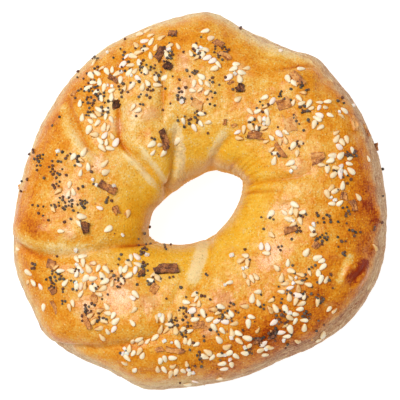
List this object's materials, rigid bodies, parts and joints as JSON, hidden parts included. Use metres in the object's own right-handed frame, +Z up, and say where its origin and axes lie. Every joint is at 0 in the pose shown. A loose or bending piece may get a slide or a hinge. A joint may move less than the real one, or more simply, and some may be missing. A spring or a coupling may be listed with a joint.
{
  "type": "topped bagel",
  "caption": "Round baked bread ring with a hole through its middle, folded lobes and a topping of seeds and dried flakes.",
  "frame": {"origin": "on the surface the bagel rests on, under the middle of its outline", "axes": "+Z up out of the topped crust, +X and +Y across the ring, with the hole's long side 32 degrees from +X towards +Y"},
  "size_m": [0.123, 0.1244, 0.0399],
  "materials": {
    "crust": null,
    "sesame": "smooth ivory seed",
    "poppy": "pitted blue-black seed",
    "flake": "dry toasted onion and garlic",
    "salt": "coarse white crystal"
  },
  "bodies": {
    "root": {"bagel": "crust"}
  },
  "joints": []
}
